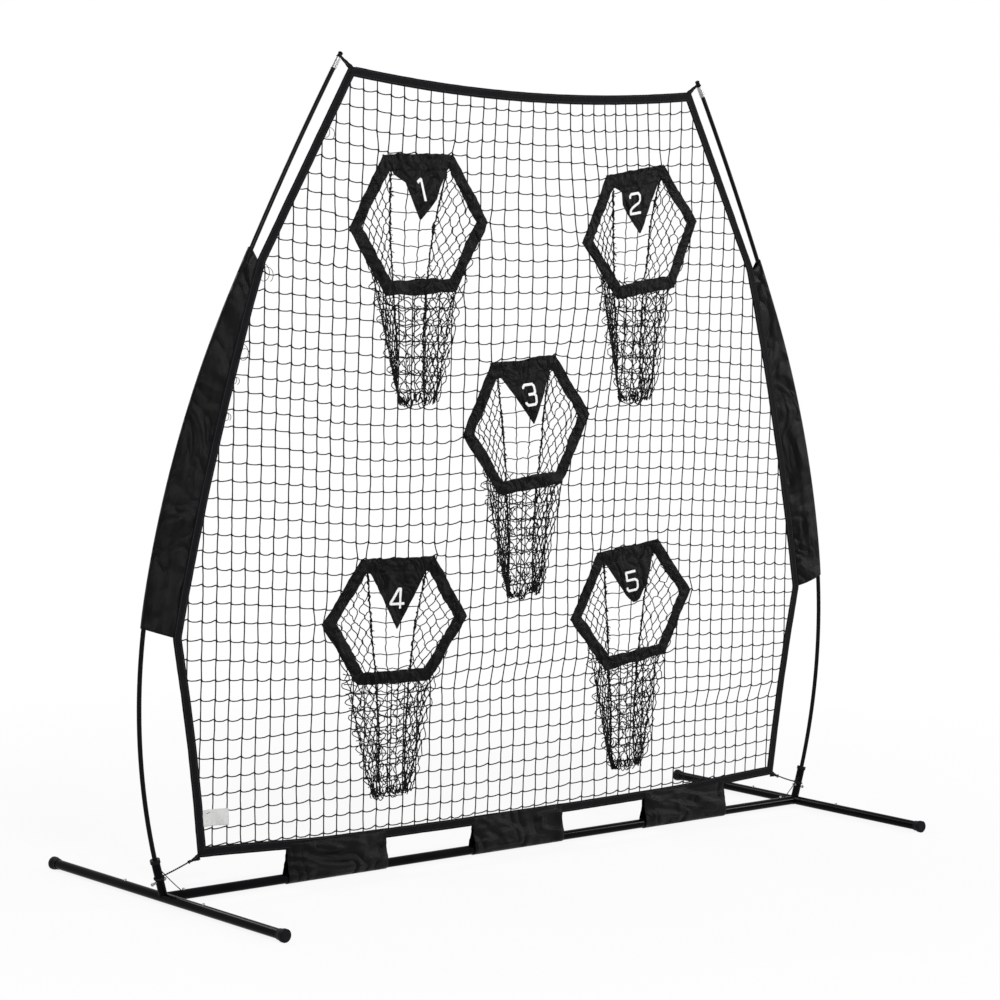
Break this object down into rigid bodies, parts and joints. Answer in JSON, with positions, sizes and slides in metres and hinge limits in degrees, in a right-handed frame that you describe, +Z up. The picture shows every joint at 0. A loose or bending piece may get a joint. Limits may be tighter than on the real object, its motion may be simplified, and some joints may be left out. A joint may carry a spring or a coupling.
{
  "type": "pitching target net",
  "caption": "Free-standing bow-framed pitching net with hexagonal numbered pockets, swinging flaps and mesh bags that catch the ball.",
  "frame": {"origin": "on the floor, midway between the four foot caps, straight below the middle of the net", "axes": "+X along the crossbar to the right as the thrower sees it, +Y away from the thrower, behind the net where the bags hang, +Z up"},
  "size_m": [2.4916, 1.01, 2.1494],
  "materials": {
    "tube_coat": "semi-gloss black powder coat on steel tube",
    "cap_rubber": "matt black moulded rubber",
    "spring_steel": "plain spring steel",
    "pole_fibreglass": "black pultruded fibreglass",
    "ferrule_alloy": "bright drawn ferrule with fine rings",
    "moulded_black": "black moulded plastic",
    "bolt_steel": "dark plated steel",
    "net_cord": "black knotless netting",
    "bag_mesh": "fine black knitted mesh",
    "webbing": "black sewn webbing",
    "satin_cloth": "black coated cloth with a satin sheen",
    "flag_cloth": "black coated cloth with a printed white number",
    "tie_cord": "black braided cord",
    "tag_cloth": "plain white woven tag"
  },
  "bodies": {
    "frame": {"foot_centre_left": "tube_coat", "foot_centre_right": "tube_coat", "foot_tube_front_left": "tube_coat", "foot_tube_rear_left": "tube_coat", "foot_tube_front_right": "tube_coat", "foot_tube_rear_right": "tube_coat", "foot_caps": "cap_rubber", "crossbar_outer_left": "tube_coat", "crossbar_inner_left": "tube_coat", "crossbar_inner_right": "tube_coat", "crossbar_outer_right": "tube_coat", "button_springs": "spring_steel", "pole_lower_left": "pole_fibreglass", "pole_middle_left": "pole_fibreglass", "pole_upper_left": "pole_fibreglass", "pole_lower_right": "pole_fibreglass", "pole_middle_right": "pole_fibreglass", "pole_upper_right": "pole_fibreglass", "pole_ferrules": "ferrule_alloy", "tip_caps": "moulded_black", "pole_bushings": "moulded_black", "socket_bolts": "bolt_steel", "corner_straps": "webbing", "net_panel": "net_cord", "binding_top": "webbing", "binding_bottom": "webbing", "binding_left": "webbing", "binding_right": "webbing", "side_sleeve_left": "satin_cloth", "side_sleeve_right": "satin_cloth", "bar_tab_left": "satin_cloth", "bar_tab_middle": "satin_cloth", "bar_tab_right": "satin_cloth", "pocket_frame_1": "satin_cloth", "pocket_frame_2": "satin_cloth", "pocket_frame_3": "satin_cloth", "pocket_frame_4": "satin_cloth", "pocket_frame_5": "satin_cloth", "pocket_bag_1": "bag_mesh", "pocket_bag_2": "bag_mesh", "pocket_bag_3": "bag_mesh", "pocket_bag_4": "bag_mesh", "pocket_bag_5": "bag_mesh", "corner_tie_left": "tie_cord", "corner_tie_right": "tie_cord", "tether_left": "tie_cord", "tether_right": "tie_cord", "tie_knots": "tie_cord", "care_tag": "tag_cloth"},
    "flag_1": {"flag_1": "flag_cloth"},
    "flag_2": {"flag_2": "flag_cloth"},
    "flag_3": {"flag_3": "flag_cloth"},
    "flag_4": {"flag_4": "flag_cloth"},
    "flag_5": {"flag_5": "flag_cloth"},
    "button_front_left": {"button_front_left": "spring_steel"},
    "button_rear_left": {"button_rear_left": "spring_steel"},
    "button_front_right": {"button_front_right": "spring_steel"},
    "button_rear_right": {"button_rear_right": "spring_steel"},
    "button_bar_left": {"button_bar_left": "spring_steel"},
    "button_bar_right": {"button_bar_right": "spring_steel"}
  },
  "joints": [
    {"name": "flag_1_hinge", "type": "hinge", "parent": "frame", "child": "flag_1", "pos_m": [-0.37821, -0.0023, 1.85251], "axis": [0.9986, 0, 0.0523], "range_deg": [-165, 18]},
    {"name": "flag_2_hinge", "type": "hinge", "parent": "frame", "child": "flag_2", "pos_m": [0.41846, -0.0023, 1.85], "axis": [0.9877, 0, 0.1564], "range_deg": [-165, 18]},
    {"name": "flag_3_hinge", "type": "hinge", "parent": "frame", "child": "flag_3", "pos_m": [0.01361, -0.0023, 1.31595], "axis": [0.9945, 0, 0.1045], "range_deg": [-165, 18]},
    {"name": "flag_4_hinge", "type": "hinge", "parent": "frame", "child": "flag_4", "pos_m": [-0.4196, -0.0023, 0.80468], "axis": [0.9998, 0, -0.0175], "range_deg": [-165, 18]},
    {"name": "flag_5_hinge", "type": "hinge", "parent": "frame", "child": "flag_5", "pos_m": [0.42922, -0.0023, 0.79367], "axis": [0.9925, 0, 0.1219], "range_deg": [-165, 18]},
    {"name": "button_front_left_press", "type": "slide", "parent": "frame", "child": "button_front_left", "axis": [0, 0, -1], "range_m": [0, 0.0058], "stiffness_N_per_m": 2000, "springref_m": -0.001},
    {"name": "button_rear_left_press", "type": "slide", "parent": "frame", "child": "button_rear_left", "axis": [0, 0, -1], "range_m": [0, 0.0058], "stiffness_N_per_m": 2000, "springref_m": -0.001},
    {"name": "button_front_right_press", "type": "slide", "parent": "frame", "child": "button_front_right", "axis": [0, 0, -1], "range_m": [0, 0.0058], "stiffness_N_per_m": 2000, "springref_m": -0.001},
    {"name": "button_rear_right_press", "type": "slide", "parent": "frame", "child": "button_rear_right", "axis": [0, 0, -1], "range_m": [0, 0.0058], "stiffness_N_per_m": 2000, "springref_m": -0.001},
    {"name": "button_bar_left_press", "type": "slide", "parent": "frame", "child": "button_bar_left", "axis": [0, 0, -1], "range_m": [0, 0.0058], "stiffness_N_per_m": 2000, "springref_m": -0.001},
    {"name": "button_bar_right_press", "type": "slide", "parent": "frame", "child": "button_bar_right", "axis": [0, 0, -1], "range_m": [0, 0.0058], "stiffness_N_per_m": 2000, "springref_m": -0.001}
  ]
}
